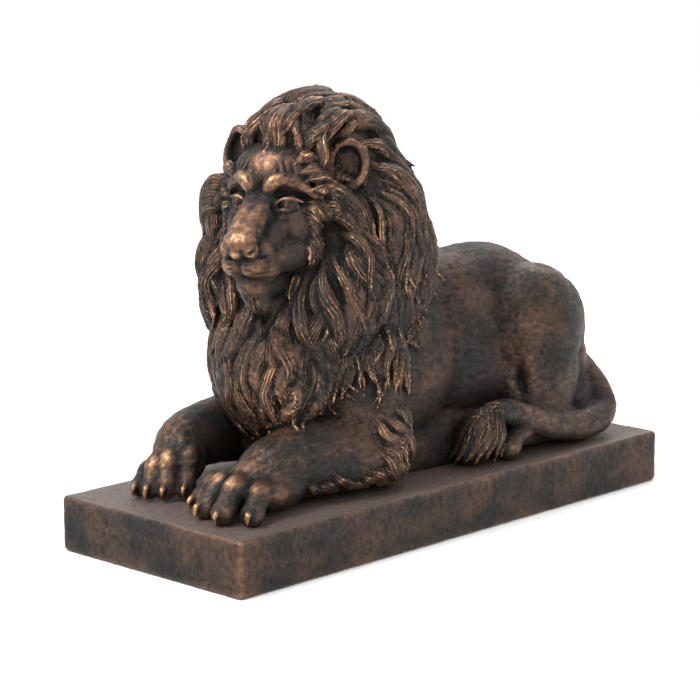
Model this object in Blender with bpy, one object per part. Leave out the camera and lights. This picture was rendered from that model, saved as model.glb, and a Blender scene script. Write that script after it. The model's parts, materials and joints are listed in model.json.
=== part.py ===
"""A cast lion lying on its plinth, its head turned to its left.

Metres, +Z up. The lion faces -Y, its left side is +X, and the origin is the middle of the plinth's
underside. The lion is modelled on a grid of its own, whose unit is a 566th of the lion's length. The grid's
origin lies on the plinth's top, and all of the lion's forms are written in that unit.
"""

import math
import random
from itertools import product

import bmesh
import bpy
import numpy as np
from mathutils import Euler, Matrix, Vector, noise
from mathutils.bvhtree import BVHTree

# Driving dimensions, in metres
LION_LENGTH = 0.566
PLINTH_HEIGHT = 0.053
PLINTH_WIDTH = 0.240
FRONT_MARGIN = 0.019
REAR_MARGIN = 0.015
PLINTH_ROUNDING = 0.004
CLEARANCE = 0.0003

# The lion's grid
GRID_LENGTH = 566.0
GRID_FRONT = -281.0
UNIT = LION_LENGTH / GRID_LENGTH
PLINTH_LENGTH = FRONT_MARGIN + LION_LENGTH + REAR_MARGIN
GRID_ORIGIN_Y = FRONT_MARGIN - PLINTH_LENGTH / 2 - GRID_FRONT * UNIT

# How finely the forms are fused, in grid units, and how often each skin is smoothed
COARSE_VOXEL = 3.6
COARSE_PASSES = 9
MIDDLE_VOXEL = 2.4
MIDDLE_PASSES = 3
FINE_VOXEL = 2.2
FINE_PASSES = 1
LION_TRIANGLES = 9400
BALL_SIDES = 24
BALL_RINGS = 14
LIMB_SIDES = 18
LIMB_STEPS = 6
CAP_ANGLES = (78, 52, 26)

# The head's own frame: its origin lies midway between the ears
HEAD_AT = Vector((4, -117, 313))
HEAD_TURN = 19.5
HEAD = Matrix.Translation(HEAD_AT) @ Matrix.Rotation(math.radians(HEAD_TURN), 4, "Z")


def clear_scene():
    for obj in list(bpy.data.objects):
        bpy.data.objects.remove(obj)


def curve_through(points, count):
    """A Catmull-Rom curve through the points, read at even steps."""
    p = np.array(points, float)
    p = np.vstack([2 * p[0] - p[1], p, 2 * p[-1] - p[-2]])
    at = np.linspace(0, len(p) - 3 - 1e-9, count)
    i = at.astype(int)
    t = (at - i)[:, None]
    a, b, c, d = p[i], p[i + 1], p[i + 2], p[i + 3]
    return 0.5 * (2 * b + (c - a) * t + (2 * a - 5 * b + 4 * c - d) * t**2 + (3 * b - a - 3 * c + d) * t**3)


def ease(low, high, value):
    """A smooth step from 0 at low to 1 at high."""
    t = min(max((value - low) / (high - low), 0.0), 1.0)
    return t * t * (3 - 2 * t)


class Forms:
    """Closed forms gathered in one mesh, before they are fused."""

    def __init__(self, frame=Matrix.Identity(4)):
        self.bm = bmesh.new()
        self.frame = frame

    def ball(self, centre, radii, turn=(0, 0, 0)):
        """An ellipsoid, turned by angles in degrees about X, Y and Z."""
        angles = Euler([math.radians(t) for t in turn])
        place = Matrix.Translation(centre) @ angles.to_matrix().to_4x4() @ Matrix.Diagonal((*radii, 1))
        matrix = self.frame @ place
        bmesh.ops.create_uvsphere(self.bm, radius=1, u_segments=BALL_SIDES, v_segments=BALL_RINGS, matrix=matrix)

    def pair(self, centre, radii, turn=(0, 0, 0)):
        """An ellipsoid and its mirror image across the middle plane."""
        for side in (1, -1):
            self.ball((side * centre[0], *centre[1:]), radii, (turn[0], side * turn[1], side * turn[2]))

    def limb(self, points, radii, sides=LIMB_SIDES, steps=None):
        """A round form along a curve, with a radius at each of its points and rounded ends."""
        steps = steps or LIMB_STEPS * len(points)
        path = curve_through(points, steps)
        size = curve_through(np.array(radii, float)[:, None], steps)[:, 0]
        tangents = np.gradient(path, axis=0)
        stations = []
        for i in range(steps):
            tangent = Vector(tangents[i]).normalized()
            side = tangent.cross(Vector((0, 0, 1)))
            side = side.normalized() if side.length > 0.05 else Vector((1, 0, 0))
            stations.append((Vector(path[i]), side, side.cross(tangent), tangent, size[i]))
        rounds = [math.radians(a) for a in CAP_ANGLES]
        rings = [self._ring(*self._cap(stations[0], -1, a), sides) for a in rounds]
        rings += [self._ring(c, s, u, r, r, sides) for c, s, u, _, r in stations]
        rings += [self._ring(*self._cap(stations[-1], 1, a), sides) for a in reversed(rounds)]
        self._skin(rings, sides)

    def lock(self, path, normals, width, height, sides=8):
        """A lock of hair: a flat form lying along a path on the skin, swelling and then drawn to a tip."""
        rings = []
        count = len(path)
        for i in range(count):
            t = i / (count - 1)
            tangent = (path[min(i + 1, count - 1)] - path[max(i - 1, 0)]).normalized()
            side = normals[i].cross(tangent).normalized()
            swell = (0.5 + 0.5 * ease(0, 0.3, t)) * (1 - ease(0.5, 1.0, t) * 0.92)
            rings.append(self._ring(path[i], side, normals[i], width * swell, height * swell, sides))
        self._skin(rings, sides)

    def _cap(self, station, way, angle):
        centre, side, top, tangent, r = station
        centre = centre + tangent * way * r * math.sin(angle)
        return centre, side, top, r * math.cos(angle), r * math.cos(angle)

    def _ring(self, centre, side, top, wide, high, sides):
        angles = [math.tau * i / sides for i in range(sides)]
        points = [centre + side * wide * math.cos(a) + top * high * math.sin(a) for a in angles]
        return [self.bm.verts.new(self.frame @ p) for p in points]

    def _skin(self, rings, sides):
        for a, b in zip(rings, rings[1:]):
            for i in range(sides):
                j = (i + 1) % sides
                self.bm.faces.new((a[i], a[j], b[j], b[i]))
        self.bm.faces.new(list(reversed(rings[0])))
        self.bm.faces.new(rings[-1])

    def add(self, mesh):
        self.bm.from_mesh(mesh)

    def to_mesh(self, name="forms"):
        bmesh.ops.recalc_face_normals(self.bm, faces=self.bm.faces)
        mesh = bpy.data.meshes.new(name)
        self.bm.to_mesh(mesh)
        self.bm.free()
        return mesh


def modified(mesh, *settings):
    """The mesh after a list of modifiers, each given as its type and its settings."""
    obj = bpy.data.objects.new("work", mesh)
    bpy.context.scene.collection.objects.link(obj)
    for kind, values in settings:
        modifier = obj.modifiers.new(kind, kind)
        for key, value in values.items():
            setattr(modifier, key, value)
    result = bpy.data.meshes.new_from_object(obj.evaluated_get(bpy.context.evaluated_depsgraph_get()))
    bpy.data.objects.remove(obj)
    return result


def fuse(mesh, voxel, passes):
    """The gathered forms as one skin: a voxel remesh, then smoothing passes."""
    return modified(
        mesh,
        ("REMESH", {"mode": "VOXEL", "voxel_size": voxel}),
        ("SMOOTH", {"factor": 0.5, "iterations": passes}),
    )


def corners(mesh):
    co = np.empty(len(mesh.vertices) * 3, np.float32)
    mesh.vertices.foreach_get("co", co)
    return co.reshape(-1, 3)


def normals_of(mesh):
    no = np.empty(len(mesh.vertices) * 3, np.float32)
    mesh.vertex_normals.foreach_get("vector", no)
    return no.reshape(-1, 3)


def move_to(mesh, co):
    mesh.vertices.foreach_set("co", co.ravel())
    mesh.update()


class Strokes:
    """Soft grooves and ridges along curves, pressed into a skin together."""

    def __init__(self, frame=Matrix.Identity(4)):
        self.frame = frame
        self.list = []

    def add(self, points, width, depth, taper=True):
        """A groove of that half-width along a curve, or a ridge where the depth is negative."""
        path = curve_through(points, 10 * len(points))
        path = np.array([self.frame @ Vector(p) for p in path])
        t = np.linspace(0, 1, len(path))
        fade = np.clip(np.minimum(t, 1 - t) / 0.2, 0, 1) if taper else np.ones(len(path))
        self.list.append((path, width, depth * fade))

    def both(self, points, width, depth, taper=True):
        """The same stroke on both sides of the middle plane."""
        for side in (1, -1):
            self.add([(side * x, y, z) for x, y, z in points], width, depth, taper)

    def press(self, mesh):
        co = corners(mesh)
        no = normals_of(mesh)
        shift = np.zeros(len(co), np.float32)
        for path, width, depth in self.list:
            low = path.min(axis=0) - 2.5 * width
            high = path.max(axis=0) + 2.5 * width
            near = np.nonzero(np.all((co > low) & (co < high), axis=1))[0]
            if len(near) == 0:
                continue
            gaps = ((co[near][:, None, :] - path[None]) ** 2).sum(axis=2)
            at = gaps.argmin(axis=1)
            gap = gaps[np.arange(len(near)), at]
            shift[near] += depth[at] * np.exp(-gap / width**2)
        move_to(mesh, co - no * shift[:, None])


# The body's masses
def torso(forms):
    forms.ball((0, -10, 100), (74, 105, 92))
    forms.ball((0, 95, 98), (70, 110, 90))
    forms.limb([(0, 20, 154), (0, 95, 154), (0, 155, 155), (0, 205, 140)], [44, 46, 46, 40])
    forms.ball((0, 200, 98), (60, 56, 84))
    forms.ball((0, -60, 110), (70, 80, 100))
    forms.ball((0, 70, 20), (66, 190, 60))
    forms.ball((0, -92, 20), (58, 66, 60))


def haunch(forms, side):
    forms.ball((side * 46, 178, 136), (40, 56, 46))
    forms.ball((side * 57, 178, 112), (36, 58, 58))
    forms.ball((side * 64, 170, 70), (32, 54, 58))
    forms.ball((side * 66, 164, 40), (29, 50, 42))
    forms.ball((side * 44, 222, 112), (30, 34, 52))
    forms.ball((side * 46, 224, 70), (30, 34, 52))


def left_foreleg(forms):
    forms.limb([(52, -90, 150), (62, -86, 100), (65, -78, 46)], [36, 40, 37])
    forms.limb(
        [(65, -74, 38), (61, -110, 39), (53, -150, 37), (49, -188, 32), (49, -216, 24)],
        [37, 38, 36, 32, 25],
    )
    forms.ball((50, -200, 22), (37, 38, 26))


def right_foreleg(forms):
    forms.limb([(-52, -90, 150), (-64, -86, 100), (-68, -78, 46)], [36, 40, 37])
    forms.limb(
        [(-66, -70, 38), (-76, -110, 42), (-68, -160, 45), (-60, -198, 42), (-50, -220, 30)],
        [37, 35, 31, 28, 23],
    )


MANE_BALLS = [
    ((0, -62, 205), (88, 88, 98)),
    ((0, -112, 120), (70, 70, 84)),
    ((30, -98, 180), (62, 70, 66)),
    ((-30, -98, 180), (64, 72, 68)),
    ((2, -84, 284), (60, 80, 80)),
    ((8, -58, 250), (74, 66, 72)),
    ((0, -40, 205), (84, 66, 76)),
]


def mane_mass(forms):
    for centre, radii in MANE_BALLS:
        forms.ball(centre, radii)


def tail(forms):
    path = [
        (20, 225, 95),
        (46, 246, 72),
        (66, 258, 46),
        (82, 252, 24),
        (91, 220, 17),
        (92, 180, 20),
        (92, 145, 29),
        (91, 104, 46),
        (88, 74, 50),
        (84, 50, 38),
    ]
    forms.limb(path, [16, 17, 17, 17, 16, 15, 14, 13, 12, 9], steps=80)
    forms.ball((56, 228, 30), (28, 30, 46))


def skull(forms):
    forms.ball((0, 5, -30), (56, 60, 53))
    forms.ball((0, -20, -40), (42, 40, 40))
    forms.ball((0, -40, -90), (24, 40, 30))


def coarse_skin():
    """The lion's masses, fused and smoothed."""
    body = Forms()
    torso(body)
    for side in (1, -1):
        haunch(body, side)
    left_foreleg(body)
    right_foreleg(body)
    mane_mass(body)
    tail(body)
    head = Forms(HEAD)
    skull(head)
    body.add(head.to_mesh())
    return fuse(body.to_mesh(), COARSE_VOXEL, COARSE_PASSES)


# The finer forms
def face(forms):
    """The face in the head's frame: brow, bridge, cheeks, muzzle, nose and chin."""
    forms.ball((0, -34, -14), (40, 36, 33))
    forms.pair((25, -37, -62), (19, 32, 35))
    forms.pair((14, -89, -89), (16, 22, 15))
    forms.ball((0, -60, -108), (20, 34, 18))
    forms.ball((0, -80, -111), (18, 16, 9))
    forms.ball((1, -77, -125), (15, 14, 13))
    forms.ball((0, -110, -66), (16, 14, 10), (22, 0, 0))
    forms.pair((11.5, -112, -74), (6.5, 9, 7))
    forms.ball((0, -116, -76), (7, 8, 7))
    for side in (1, -1):
        brow = [(7, -68, -30), (13, -70, -22), (23, -65, -18), (34, -55, -25), (42, -44, -34)]
        forms.limb([(side * x, y, z) for x, y, z in brow], [7, 9, 9.5, 8, 6])
        forms.limb([(side * 4, -46, -26), (side * 5, -71, -40), (side * 5, -101, -61)], [14, 12, 11])
        forms.limb([(side * 17, -44, -46), (side * 15, -66, -60), (side * 14, -86, -77)], [13, 13, 14])
        forms.limb([(side * 13, -80, -78), (side * 22, -60, -78), (side * 30, -38, -78)], [15, 17, 17])
        forms.limb([(side * 22, -58, -50), (side * 36, -46, -48), (side * 44, -30, -46)], [8, 8, 7])


EAR_PLACES = {1: Vector((58, -5, -5)), -1: Vector((-57, -9, 5))}
EYE = (24, -58, -36.5)
EYE_RADIUS = 8.4
UPPER_LID = [(12, -69, -43), (18, -68, -35), (26, -65.5, -33), (33, -58, -36), (40, -49, -41)]
LOWER_LID = [(12, -69, -44), (18, -67, -42), (26, -64, -41.5), (34, -57, -38)]


def lids(forms):
    for side in (1, -1):
        forms.limb([(side * x, y, z) for x, y, z in UPPER_LID], [1.3, 2.2, 2.3, 2.1, 1.1], sides=8)
        forms.limb([(side * x, y, z) for x, y, z in LOWER_LID], [1.2, 1.7, 1.7, 1.2], sides=8)
        forms.ball((side * EYE[0], EYE[1] + 0.8, EYE[2]), (EYE_RADIUS, EYE_RADIUS, EYE_RADIUS))


def socket_strokes(mesh):
    """The eye sockets and the furrow of the brow, pressed into the skin before the lids are laid on."""
    strokes = Strokes(HEAD)
    strokes.both([(13, -76, -41), (20, -72, -38), (29, -65, -37), (36, -54, -39)], 4.6, 4.5)
    strokes.both([(19, -73, -24), (24, -70, -24), (29, -66, -25)], 3.0, 3.6)
    strokes.both([(18, -72, -50), (30, -62, -49), (40, -48, -48)], 3.5, 1.2)
    strokes.add([(0, -68, 6), (0, -76, -10), (0, -80, -28)], 3.2, 3.0)
    strokes.both([(10, -82, -37), (14, -86, -52), (16, -100, -66)], 4.0, 1.2)
    for place in EAR_PLACES.values():
        low, high = place + Vector((0, 4, -9)), place + Vector((0, 4, 9))
        strokes.add([low, place + Vector((0, 4, 0)), high], 13, 11, False)
    strokes.press(mesh)


def face_strokes(mesh):
    """The nostrils, the groove of the upper lip and the mouth."""
    strokes = Strokes(HEAD)
    strokes.both([(5, -126, -79), (10, -124, -79), (15, -118, -76), (17, -111, -71)], 3, 4)
    strokes.add([(0, -126, -82), (0, -118, -90), (0, -111, -100)], 2.6, 3, False)
    strokes.both([(0, -108, -100), (9, -107, -104), (18, -99, -104), (26, -87, -98), (31, -76, -94)], 3, 5)
    strokes.press(mesh)


def ear(forms, side):
    """A cupped ear: a thick rim around a hollow, opening forwards and outwards."""
    centre = EAR_PLACES[side]
    turn = Euler((math.radians(-8), 0, math.radians(side * 24))).to_matrix()
    rim = []
    for i in range(13):
        a = math.radians(-80 + 320 * i / 12)
        rim.append(centre + turn @ Vector((side * 16 * math.cos(a), 0, 21 * math.sin(a))))
    forms.limb(rim, [4.2] * len(rim), sides=12, steps=60)
    forms.ball(centre + turn @ Vector((0, 13, -1)), (18, 5, 23), (-8, 0, side * 24))
    forms.ball(centre + turn @ Vector((side * 15, 8, -1)), (4, 9, 20), (-8, 0, side * 24))


def toe(forms, knuckle, tip, radius, back=2.6):
    """A toe bent over its knuckle, with a tendon behind it and a claw before it."""
    knuckle = Vector(knuckle)
    tip = Vector(tip)
    way = (tip - knuckle).normalized()
    ahead = Vector((way.x, way.y, 0)).normalized()
    root = knuckle - ahead * back * radius + Vector((0, 0, 0.1 * radius))
    middle = (knuckle + tip) / 2 + Vector((0, 0, 1.5))
    forms.limb([root, knuckle, middle, tip], [radius * 0.8, radius, radius * 0.86, radius * 0.95])
    claw = tip + ahead * radius * 0.8
    bed = tip + way * radius * 0.2 + Vector((0, 0, 4))
    forms.limb([bed, claw + Vector((0, 0, 1)), claw + Vector((0, 0, -6))], [3.6, 3.4, 1.6], sides=12)


def left_paw(forms):
    forms.ball((50, -218, 20), (40, 30, 19))
    knuckles = [(14, -231, 19), (35, -239, 25), (57, -243, 26), (77, -233, 22)]
    tips = [(14, -247, 8), (37, -262, 8), (65, -269, 8), (88, -254, 8)]
    for knuckle, tip in zip(knuckles, tips):
        toe(forms, knuckle, tip, 10.8)


def right_paw(forms):
    forms.ball((-52, -212, 32), (27, 24, 28), (0, 20, 0))
    knuckles = [(-70, -235, 20), (-57, -237, 29), (-43, -232, 36), (-30, -220, 38)]
    tips = [(-63, -253, 8), (-48, -254, 8), (-34, -247, 8), (-22, -232, 9)]
    for knuckle, tip in zip(knuckles, tips):
        toe(forms, knuckle, tip, 9.2)


def hind_foot(forms, side):
    forms.limb([(side * 66, 200, 16), (side * 74, 150, 18), (side * 82, 122, 20)], [16, 15, 13])
    toe(forms, (side * 88, 116, 25), (side * 91, 95, 10), 11.0, 1.5)
    toe(forms, (side * 74, 112, 24), (side * 75, 90, 10), 10.5, 1.5)


def follow(points, facing, steps=22):
    """A smooth path through the points, with the normals of a form lying along it and facing one way."""
    path = [Vector(p) for p in curve_through(points, steps)]
    return path, [Vector(facing).normalized() for _ in path]


TUFT_TIPS = [
    (92, 72, 3), (96, 63, 2), (95, 50, 3), (92, 38, 2), (86, 30, 3),
    (77, 26, 2), (67, 30, 4), (57, 38, 3), (50, 50, 8), (60, 60, 12),
]


def tail_tuft(forms):
    """The tuft hangs from the tail's end over the foot and fans out on the ground."""
    forms.ball((76, 60, 22), (16, 26, 26))
    for k, tip in enumerate(TUFT_TIPS):
        for layer in (0, 1):
            turn = math.radians(-34 + 16 * k + 8 * layer)
            out = Vector((math.cos(turn), -math.sin(turn), 0))
            start = Vector((86, 92 - k, 51 - 3 * layer)) + out * 3
            end = Vector(tip) + out * (2 - 9 * layer)
            middle = (end + Vector((84, 66, 42))) / 2 + out * (11 - 4 * layer) + Vector((0, 0, 4))
            bend = Vector((85, 72 - 1.5 * k, 49)) + out * (7 - 2 * layer)
            path, normals = follow([start, bend, middle, end], out + Vector((0, 0, 0.3)))
            forms.lock(path, normals, 9, 6)


def arm_fringe(forms, tree):
    """Ragged hair along the lower edge of the forearm and behind the elbow."""
    rng = random.Random(11)

    def along(_):
        return Vector((side * 0.35, 0.75, -0.6))

    def behind(p):
        return Vector((side * 0.3, 1, -0.9 + 1.1 * noise.noise(p * 0.05)))

    for side in (1, -1):
        for k in range(9):
            y = -180 + 13 * k + rng.uniform(-3, 3)
            root = Vector((side * (98 + 0.05 * y), y, rng.uniform(12, 26)))
            path, normals = comb(tree, root, rng.uniform(20, 32), along, 5, 0.2, rng.random(), 0.4, steps=14)
            forms.lock(path, normals, 6.5, 4.5)
        for k in range(12):
            root = Vector((side * (96 + rng.uniform(-6, 8)), -84 + rng.uniform(-18, 22), 14 + 6 * k))
            length = rng.uniform(24, 52)
            path, normals = comb(tree, root, length, behind, 9, 0.3, rng.random(), 0.3, steps=14)
            forms.lock(path, normals, rng.uniform(6, 9), 5.5)


def body_strokes(mesh):
    strokes = Strokes()
    # The furrow before the thigh, the one between thigh and buttock, and the fold under the knee
    strokes.both([(60, 124, 176), (76, 116, 130), (82, 120, 90), (86, 128, 50)], 11, 10)
    strokes.both([(66, 214, 172), (86, 220, 130), (90, 222, 80), (84, 214, 50)], 6, 8)
    # Ribs and flank
    strokes.both([(76, 10, 150), (84, 30, 110), (80, 40, 60)], 14, 2.5)
    strokes.press(mesh)


# The mane
HEAD_BACK = HEAD.inverted()
NECK_AXIS = Vector((0, -80, 0))
# The layers of the mane: spacing of the roots, half-width, height as a share of it, lift and length
LOCK_LAYERS = [(25, 13, 0.75, 7, 125)]


def hem_height(p):
    """How low the mane hangs there: near the ground on the chest, higher on the sides and back."""
    out = p - NECK_AXIS
    turn = abs(math.degrees(math.atan2(out.x, -out.y)))
    return 82 + 64 * ease(25, 75, turn) + 48 * ease(95, 150, turn)


def has_mane(p):
    """Whether a lock of the mane is rooted at that point of the skin."""
    q = HEAD_BACK @ p
    if q.y < -14 and (q.x / 44) ** 2 + ((q.z + 62) / 70) ** 2 < 1:
        return False
    if any((q - place).length < 26 for place in EAR_PLACES.values()):
        return False
    if p.z < hem_height(p) + 36:
        return False
    near = min(sum(((p[k] - c[k]) / r[k]) ** 2 for k in range(3)) for c, r in MANE_BALLS)
    return near < 1.12


def mane_flow(p):
    """The way the hair lies: up and back over the crown, away from the face, then down."""
    q = HEAD_BACK @ p
    away = Vector((q.x, q.y + 30, q.z + 50))
    near_face = 0.7 * math.exp(-((away.length / 80) ** 2))
    crown = ease(-30, 10, q.z) * (1 - ease(10, 75, q.y))
    way = away.normalized() * near_face + Vector((0, 0, -1)) * (1 - near_face) * (1 - crown)
    way += Vector((0.15, 1, 0.35)) * crown + Vector((0, 0.35 * near_face, 0))
    for place in EAR_PLACES.values():
        off = q - place
        way += off.normalized() * 1.8 * math.exp(-((off.length / 30) ** 2))
    return HEAD.to_3x3() @ way


def scatter(mesh, wanted, spacing, rng):
    """Corners of the skin that lie about a spacing apart and where a test holds."""
    order = list(range(len(mesh.vertices)))
    rng.shuffle(order)
    cells = {}
    chosen = []
    for v in order:
        p = mesh.vertices[v].co
        cell = tuple(int(math.floor(c / spacing)) for c in p)
        around = (tuple(c + d for c, d in zip(cell, step)) for step in product((-1, 0, 1), repeat=3))
        if any((p - q).length < spacing for c in around for q in cells.get(c, ())):
            continue
        if wanted(p):
            cells.setdefault(cell, []).append(p.copy())
            chosen.append(p.copy())
    return chosen


def tree_of(mesh):
    corners_of = [v.co.copy() for v in mesh.vertices]
    return BVHTree.FromPolygons(corners_of, [tuple(p.vertices) for p in mesh.polygons])


def comb(tree, start, length, flow, lift, sway, phase, curl, steps=26):
    """A path creeping over the skin the way the flow leads, swaying, and curled at its tip."""
    point = Vector(start)
    path = []
    normals = []
    for i in range(steps):
        t = i / (steps - 1)
        near, normal, _, _ = tree.find_nearest(point)
        way = flow(near)
        way = (way - normal * way.dot(normal)).normalized()
        side = normal.cross(way)
        bend = sway * math.sin(math.tau * (1.1 * t + phase)) + curl * ease(0.65, 1, t)
        way = (way + side * bend).normalized()
        rise = -0.35 + 0.85 * ease(0.0, 0.4, t) + 0.75 * ease(0.55, 1, t)
        path.append(near + normal * lift * rise)
        normals.append(normal.copy())
        point = near + way * length / (steps - 1)
    return path, normals


def mane(forms, tree, skin):
    rng = random.Random(7)
    for spacing, width, height, lift, reach in LOCK_LAYERS:
        for root in scatter(skin, has_mane, spacing, rng):
            hang = root.z - hem_height(root)
            length = min(reach * rng.uniform(0.75, 1.35), 42 + hang * rng.uniform(0.95, 1.1))
            size = width * rng.uniform(0.7, 1.25)
            phase = 1.8 * noise.noise(root * 0.016) + rng.uniform(-0.1, 0.1)
            sway = rng.uniform(0.35, 0.75)
            curl = rng.uniform(0.2, 1.2) * (1 if noise.noise(root * 0.03) > 0 else -1)
            path, normals = comb(tree, root, length, mane_flow, lift, sway, phase, curl)
            forms.lock(path, normals, size, size * height)


def crest(forms):
    """The locks that rise from the forehead and sweep back over the crown, in the head's frame."""
    rng = random.Random(21)
    for row, lift in ((0, 0), (1, 4), (2, 1)):
        for k in range(8):
            x = -30 + 9 * k + rng.uniform(-4, 4)
            low = -0.007 * x * x
            back = 14 * row
            rise = lift + rng.uniform(-4, 6)
            bend = rng.uniform(-7, 7)
            path, normals = follow(
                [
                    (x * 0.95, -46 + 0.4 * abs(x) + back, 2 + 1.3 * low),
                    (x * 1.05 + bend, -53 + 0.35 * abs(x) + back, 17 + 1.2 * low + 0.6 * rise),
                    (x * 1.08 + 4 + 0.6 * bend, -42 + 0.3 * abs(x) + back, 35 + low + rise),
                    (x * 1.05 + 9 - 0.8 * bend, -10 + back, 47 + low + 0.8 * rise),
                    (x * 1.0 + 14 - 0.3 * bend, 22 + back + 2 * rise, 48 + low),
                ],
                (0.010 * x, -0.5, 1),
            )
            forms.lock(path, normals, rng.uniform(6.5, 12.5), 7.5)


def lion_mesh():
    middle = Forms()
    middle.add(coarse_skin())
    left_paw(middle)
    right_paw(middle)
    hind_foot(middle, 1)
    hind_foot(middle, -1)
    head = Forms(HEAD)
    face(head)
    middle.add(head.to_mesh())
    mesh = fuse(middle.to_mesh(), MIDDLE_VOXEL, MIDDLE_PASSES)
    socket_strokes(mesh)
    body_strokes(mesh)
    tree = tree_of(mesh)
    forms = Forms()
    forms.add(mesh)
    mane(forms, tree, mesh)
    arm_fringe(forms, tree)
    tail_tuft(forms)
    head = Forms(HEAD)
    lids(head)
    ear(head, 1)
    ear(head, -1)
    crest(head)
    forms.add(head.to_mesh())
    mesh = fuse(forms.to_mesh(), FINE_VOXEL, FINE_PASSES)
    face_strokes(mesh)
    return mesh


def material(name, colour, roughness, metallic):
    mat = bpy.data.materials.new(name)
    mat.use_nodes = True
    shader = mat.node_tree.nodes["Principled BSDF"]
    shader.inputs["Base Color"].default_value = (*colour, 1)
    shader.inputs["Roughness"].default_value = roughness
    shader.inputs["Metallic"].default_value = metallic
    return mat


def place(name, mesh, mat):
    obj = bpy.data.objects.new(name, mesh)
    bpy.context.scene.collection.objects.link(obj)
    mesh.materials.clear()
    mesh.materials.append(mat)
    return obj


def box_mesh(name, low, high):
    low = Vector(low)
    high = Vector(high)
    size = high - low
    bm = bmesh.new()
    where = Matrix.Translation((low + high) / 2) @ Matrix.Diagonal((*size, 1))
    bmesh.ops.create_cube(bm, size=1, matrix=where)
    mesh = bpy.data.meshes.new(name)
    bm.to_mesh(mesh)
    bm.free()
    return mesh


def make_lion():
    """The figure, cut flat where it lies on the plinth."""
    mesh = lion_mesh()
    mesh = modified(mesh, ("DECIMATE", {"ratio": LION_TRIANGLES / (2 * len(mesh.polygons))}))
    mesh.transform(Matrix.Translation((0, GRID_ORIGIN_Y, PLINTH_HEIGHT)) @ Matrix.Scale(UNIT, 4))
    mesh.shade_smooth()
    lion = place("lion", mesh, material("bronzed resin", (0.16, 0.09, 0.06), 0.45, 0.6))
    half = PLINTH_LENGTH
    below = box_mesh("below", (-half, -half, -half), (half, half, PLINTH_HEIGHT + CLEARANCE))
    cutter = place("below the lion", below, material("cutter", (0.5, 0.5, 0.5), 0.5, 0))
    cutter.hide_render = True
    cutter.display_type = "WIRE"
    cut = lion.modifiers.new("Flat underside", "BOOLEAN")
    cut.operation = "DIFFERENCE"
    cut.solver = "EXACT"
    cut.object = cutter


def make_plinth():
    """The slab, with rounded arrises and corners."""
    low = (-PLINTH_WIDTH / 2, -PLINTH_LENGTH / 2, 0)
    high = (PLINTH_WIDTH / 2, PLINTH_LENGTH / 2, PLINTH_HEIGHT)
    mesh = box_mesh("plinth", low, high)
    plinth = place("plinth", mesh, material("dark bronzed resin", (0.10, 0.075, 0.062), 0.55, 0.4))
    bevel = plinth.modifiers.new("Rounded arrises", "BEVEL")
    bevel.width = PLINTH_ROUNDING
    bevel.segments = 3
    mesh.shade_smooth()
    plinth.data.set_sharp_from_angle(angle=math.radians(50))


def main():
    clear_scene()
    make_lion()
    make_plinth()


main()
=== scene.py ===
import json
import math
import random
from itertools import product

import bmesh
import bpy
import numpy as np
from mathutils import Euler, Matrix, Vector, noise
from mathutils.bvhtree import BVHTree
from mathutils.kdtree import KDTree

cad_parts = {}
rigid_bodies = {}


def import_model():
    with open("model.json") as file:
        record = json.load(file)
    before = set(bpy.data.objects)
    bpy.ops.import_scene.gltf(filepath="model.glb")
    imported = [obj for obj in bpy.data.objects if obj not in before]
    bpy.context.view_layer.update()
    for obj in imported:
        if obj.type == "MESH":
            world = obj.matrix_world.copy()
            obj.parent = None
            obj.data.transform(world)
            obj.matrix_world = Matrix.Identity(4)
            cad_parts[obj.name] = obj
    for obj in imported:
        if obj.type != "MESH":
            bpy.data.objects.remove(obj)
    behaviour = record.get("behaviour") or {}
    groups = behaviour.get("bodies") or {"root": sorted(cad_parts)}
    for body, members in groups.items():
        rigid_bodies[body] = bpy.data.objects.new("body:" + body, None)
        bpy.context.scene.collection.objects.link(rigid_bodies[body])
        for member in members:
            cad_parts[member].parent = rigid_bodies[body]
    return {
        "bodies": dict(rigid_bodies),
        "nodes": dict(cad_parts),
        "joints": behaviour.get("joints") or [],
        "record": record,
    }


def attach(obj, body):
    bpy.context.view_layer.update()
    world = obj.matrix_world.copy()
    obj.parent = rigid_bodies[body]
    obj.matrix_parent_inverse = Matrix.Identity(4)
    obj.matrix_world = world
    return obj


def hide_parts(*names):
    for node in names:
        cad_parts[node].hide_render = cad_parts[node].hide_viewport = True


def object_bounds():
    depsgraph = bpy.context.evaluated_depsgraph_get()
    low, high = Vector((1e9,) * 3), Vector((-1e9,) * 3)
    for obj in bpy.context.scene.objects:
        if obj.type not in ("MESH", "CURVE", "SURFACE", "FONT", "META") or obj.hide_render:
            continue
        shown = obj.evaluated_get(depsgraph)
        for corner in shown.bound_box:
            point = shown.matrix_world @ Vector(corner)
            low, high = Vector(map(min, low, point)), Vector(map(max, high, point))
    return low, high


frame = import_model()
cad_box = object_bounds()

# The lion's grid: its unit is a 566th of the lion's length, and its origin lies on the plinth's top
LION_LENGTH = 0.566
PLINTH_HEIGHT = 0.053
PLINTH_WIDTH = 0.240
FRONT_MARGIN = 0.019
REAR_MARGIN = 0.015
GRID_LENGTH = 566.0
GRID_FRONT = -281.0
UNIT = LION_LENGTH / GRID_LENGTH
PLINTH_LENGTH = FRONT_MARGIN + LION_LENGTH + REAR_MARGIN
GRID_ORIGIN_Y = FRONT_MARGIN - PLINTH_LENGTH / 2 - GRID_FRONT * UNIT

# How finely the forms are fused, in grid units, and how often each skin is smoothed
COARSE_VOXEL = 3.0
COARSE_PASSES = 12
MIDDLE_VOXEL = 1.9
MIDDLE_PASSES = 5
FINE_VOXEL = 1.3
FINE_PASSES = 1
LION_TRIANGLES = 196000

# The head's own frame: its origin lies midway between the ears
HEAD_AT = Vector((4, -117, 313))
HEAD_TURN = 19.5
HEAD = Matrix.Translation(HEAD_AT) @ Matrix.Rotation(math.radians(HEAD_TURN), 4, "Z")


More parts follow.
